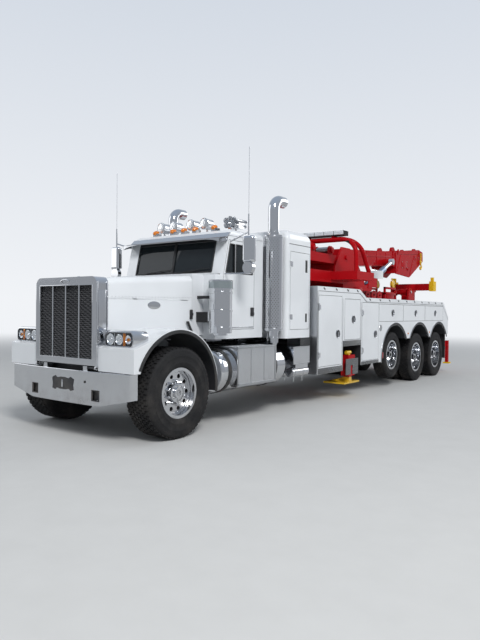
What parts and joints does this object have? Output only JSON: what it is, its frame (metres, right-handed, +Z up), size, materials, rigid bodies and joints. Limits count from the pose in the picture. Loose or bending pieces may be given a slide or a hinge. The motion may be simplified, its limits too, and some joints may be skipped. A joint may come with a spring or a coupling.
{
  "type": "tow truck",
  "caption": "Heavy recovery tow truck with a long hood and sleeper cab, a slewing extending boom, side outriggers, hinged lockers and a folding underlift.",
  "frame": {"origin": "middle of the bounding box at ground level", "axes": "+X to the truck's left, +Y to its rear, +Z up"},
  "size_m": [2.87, 12.03, 3.79],
  "materials": {
    "white_paint": "gloss",
    "red_paint": "gloss",
    "frame_black": "satin",
    "chrome": "polished",
    "bright_metal": "brushed",
    "steel": "machined",
    "engine_grey": "cast",
    "glass": "tinted",
    "tyre": "matte",
    "cabin_trim": "matte"
  },
  "bodies": {
    "chassis": {"frame_rails": "frame_black", "engine_and_driveline": "engine_grey", "axle_beams": "frame_black", "bumper": "chrome", "cab_shell": "white_paint", "windscreen": "glass", "sleeper_shell": "white_paint", "cab_interior": "cabin_trim", "roof_fittings": "chrome", "air_cleaners": "chrome", "exhaust_stacks": "chrome", "fuel_tanks": "bright_metal", "cab_steps": "chrome", "body_shell": "white_paint", "recovery_subframe": "red_paint"},
    "hood": {"hood_shell": "white_paint", "grille_shell": "chrome", "headlamps": "chrome"},
    "turret": {"turret_frame": "red_paint", "winches": "red_paint", "light_hoop": "red_paint"},
    "boom": {"boom_base": "red_paint"},
    "boom_extension": {"boom_head": "red_paint"},
    "lift_barrels": {"lift_barrels": "steel"},
    "lift_rods": {"lift_rods": "steel"},
    "underlift": {"underlift_arm": "red_paint", "underlift_crossbar": "red_paint"},
    "knuckle_left": {"knuckle_left": "frame_black"},
    "cab_door_left": {"cab_door_left": "white_paint", "door_glass_left": "glass"},
    "sleeper_hatch_left": {"sleeper_hatch_left": "white_paint"},
    "locker_door_front_left": {"locker_door_front_left": "white_paint"},
    "locker_door_rear_left": {"locker_door_rear_left": "white_paint"},
    "outrigger_beam_left": {"outrigger_beam_left": "red_paint"},
    "outrigger_leg_left": {"outrigger_leg_left": "red_paint"},
    "wheel_front_left": {"tyre_front_left": "tyre", "rim_front_left": "bright_metal"},
    "wheel_pusher_left": {"tyre_pusher_left": "tyre", "rim_pusher_left": "bright_metal"},
    "wheel_drive_front_left": {"tyre_drive_front_left": "tyre", "rim_drive_front_left": "bright_metal"},
    "wheel_drive_rear_left": {"tyre_drive_rear_left": "tyre", "rim_drive_rear_left": "bright_metal"},
    "knuckle_right": {"knuckle_right": "frame_black"},
    "cab_door_right": {"cab_door_right": "white_paint", "door_glass_right": "glass"},
    "sleeper_hatch_right": {"sleeper_hatch_right": "white_paint"},
    "locker_door_front_right": {"locker_door_front_right": "white_paint"},
    "locker_door_rear_right": {"locker_door_rear_right": "white_paint"},
    "outrigger_beam_right": {"outrigger_beam_right": "red_paint"},
    "outrigger_leg_right": {"outrigger_leg_right": "red_paint"},
    "wheel_front_right": {"tyre_front_right": "tyre", "rim_front_right": "bright_metal"},
    "wheel_pusher_right": {"tyre_pusher_right": "tyre", "rim_pusher_right": "bright_metal"},
    "wheel_drive_front_right": {"tyre_drive_front_right": "tyre", "rim_drive_front_right": "bright_metal"},
    "wheel_drive_rear_right": {"tyre_drive_rear_right": "tyre", "rim_drive_rear_right": "bright_metal"}
  },
  "joints": [
    {"name": "boom_lift", "type": "hinge", "parent": "turret", "child": "boom", "pos_m": [0, 0.835, 2.72], "axis": [1, 0, 0], "range_deg": [0, 60]},
    {"name": "boom_extend", "type": "slide", "parent": "boom", "child": "boom_extension", "axis": [0, 0.9976, 0.0698], "range_m": [0, 2.2]},
    {"name": "turret_slew", "type": "hinge", "parent": "chassis", "child": "turret", "pos_m": [0, 0.985, 1.96], "axis": [0, 0, 1], "range_deg": [-145, 145]},
    {"name": "cab_door_left", "type": "hinge", "parent": "chassis", "child": "cab_door_left", "pos_m": [0.979, -4.095, 1.93], "axis": [0, 0, -1], "range_deg": [0, 65]},
    {"name": "cab_door_right", "type": "hinge", "parent": "chassis", "child": "cab_door_right", "pos_m": [-0.979, -4.095, 1.93], "axis": [0, 0, 1], "range_deg": [0, 65]},
    {"name": "hood_tilt", "type": "hinge", "parent": "chassis", "child": "hood", "pos_m": [0, -5.98, 0.868], "axis": [1, 0, 0], "range_deg": [0, 70]},
    {"name": "steer_left", "type": "hinge", "parent": "chassis", "child": "knuckle_left", "pos_m": [0.82, -5.215, 0.556], "axis": [0, 0, 1], "range_deg": [-30, 30]},
    {"name": "steer_right", "type": "hinge", "parent": "chassis", "child": "knuckle_right", "pos_m": [-0.82, -5.215, 0.556], "axis": [0, 0, 1], "range_deg": [-30, 30]},
    {"name": "outrigger_beam_left", "type": "slide", "parent": "chassis", "child": "outrigger_beam_left", "axis": [1, 0, 0], "range_m": [0, 1.2]},
    {"name": "outrigger_beam_right", "type": "slide", "parent": "chassis", "child": "outrigger_beam_right", "axis": [-1, 0, 0], "range_m": [0, 1.2]},
    {"name": "outrigger_leg_left", "type": "slide", "parent": "outrigger_beam_left", "child": "outrigger_leg_left", "axis": [0, 0, -1], "range_m": [0, 0.25]},
    {"name": "outrigger_leg_right", "type": "slide", "parent": "outrigger_beam_right", "child": "outrigger_leg_right", "axis": [0, 0, -1], "range_m": [0, 0.25]},
    {"name": "underlift_fold", "type": "hinge", "parent": "chassis", "child": "underlift", "pos_m": [0, 5.485, 0.66], "axis": [-1, 0, 0], "range_deg": [0, 90]},
    {"name": "sleeper_hatch_left", "type": "hinge", "parent": "chassis", "child": "sleeper_hatch_left", "pos_m": [1.209, -2.71, 1.89], "axis": [0, 0, -1], "range_deg": [0, 90]},
    {"name": "sleeper_hatch_right", "type": "hinge", "parent": "chassis", "child": "sleeper_hatch_right", "pos_m": [-1.209, -2.71, 1.89], "axis": [0, 0, 1], "range_deg": [0, 90]},
    {"name": "locker_door_front_left", "type": "hinge", "parent": "chassis", "child": "locker_door_front_left", "pos_m": [1.302, -1.965, 1.24], "axis": [0, 0, -1], "range_deg": [0, 90]},
    {"name": "locker_door_front_right", "type": "hinge", "parent": "chassis", "child": "locker_door_front_right", "pos_m": [-1.302, -1.965, 1.24], "axis": [0, 0, 1], "range_deg": [0, 90]},
    {"name": "locker_door_rear_left", "type": "hinge", "parent": "chassis", "child": "locker_door_rear_left", "pos_m": [1.302, -0.285, 1.2], "axis": [0, 0, -1], "range_deg": [0, 90]},
    {"name": "locker_door_rear_right", "type": "hinge", "parent": "chassis", "child": "locker_door_rear_right", "pos_m": [-1.302, -0.285, 1.2], "axis": [0, 0, 1], "range_deg": [0, 90]},
    {"name": "wheel_front_left_spin", "type": "hinge", "parent": "knuckle_left", "child": "wheel_front_left", "pos_m": [1.03, -5.215, 0.556], "axis": [1, 0, 0], "continuous": true},
    {"name": "wheel_front_right_spin", "type": "hinge", "parent": "knuckle_right", "child": "wheel_front_right", "pos_m": [-1.03, -5.215, 0.556], "axis": [1, 0, 0], "continuous": true},
    {"name": "wheel_pusher_left_spin", "type": "hinge", "parent": "chassis", "child": "wheel_pusher_left", "pos_m": [1.1, 1.365, 0.67], "axis": [1, 0, 0], "continuous": true},
    {"name": "wheel_pusher_right_spin", "type": "hinge", "parent": "chassis", "child": "wheel_pusher_right", "pos_m": [-1.1, 1.365, 0.67], "axis": [1, 0, 0], "continuous": true},
    {"name": "wheel_drive_front_left_spin", "type": "hinge", "parent": "chassis", "child": "wheel_drive_front_left", "pos_m": [0.94, 2.805, 0.545], "axis": [1, 0, 0], "continuous": true},
    {"name": "wheel_drive_front_right_spin", "type": "hinge", "parent": "chassis", "child": "wheel_drive_front_right", "pos_m": [-0.94, 2.805, 0.545], "axis": [1, 0, 0], "continuous": true},
    {"name": "wheel_drive_rear_left_spin", "type": "hinge", "parent": "chassis", "child": "wheel_drive_rear_left", "pos_m": [0.94, 4.165, 0.545], "axis": [1, 0, 0], "continuous": true},
    {"name": "wheel_drive_rear_right_spin", "type": "hinge", "parent": "chassis", "child": "wheel_drive_rear_right", "pos_m": [-0.94, 4.165, 0.545], "axis": [1, 0, 0], "continuous": true},
    {"name": "lift_barrel", "type": "hinge", "parent": "turret", "child": "lift_barrels", "pos_m": [0, 1.505, 2.12], "axis": [1, 0, 0], "range_deg": [0, 61]},
    {"name": "lift_rod", "type": "slide", "parent": "lift_barrels", "child": "lift_rods", "axis": [0, 0.9164, 0.4003], "range_m": [0, 0.92]}
  ],
  "couplings": [
    {"joint": "steer_right", "follows": "steer_left", "ratio": 1},
    {"joint": "lift_barrel", "follows": "boom_lift", "ratio": 0.9985},
    {"joint": "lift_rod", "follows": "boom_lift", "m_per_rad": 0.869}
  ]
}
